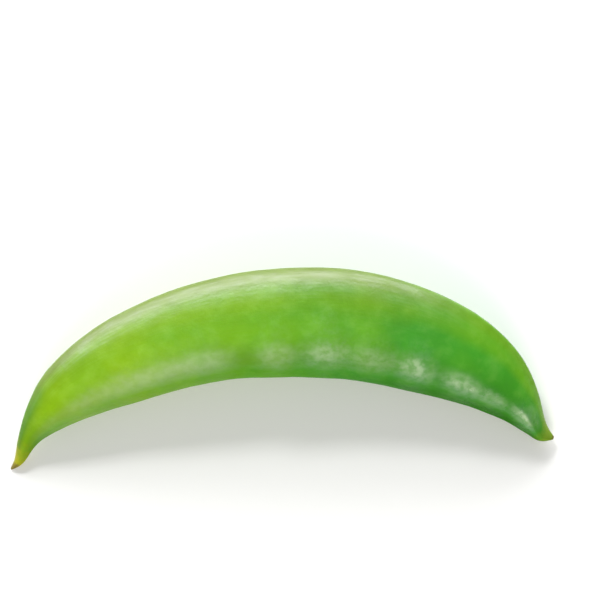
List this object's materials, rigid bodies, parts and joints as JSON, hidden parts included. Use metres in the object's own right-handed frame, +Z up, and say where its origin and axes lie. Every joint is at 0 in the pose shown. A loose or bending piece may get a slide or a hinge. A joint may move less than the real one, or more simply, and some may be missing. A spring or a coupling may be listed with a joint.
{
  "type": "sugar snap pea pod",
  "caption": "Curved, plump green sugar snap pea pod, whole and closed, lying on its side with a row of peas swelling its walls.",
  "frame": {"origin": "middle of the pod's footprint, on the surface that it lies on", "axes": "+X runs from the stalk end to the tip, +Y towards the outer edge of the curve, +Z up from the surface"},
  "size_m": [0.0722, 0.026, 0.0121],
  "materials": {
    "pod_skin": "satin, waxy fresh green skin"
  },
  "bodies": {
    "root": {"pod": "pod_skin"}
  },
  "joints": []
}
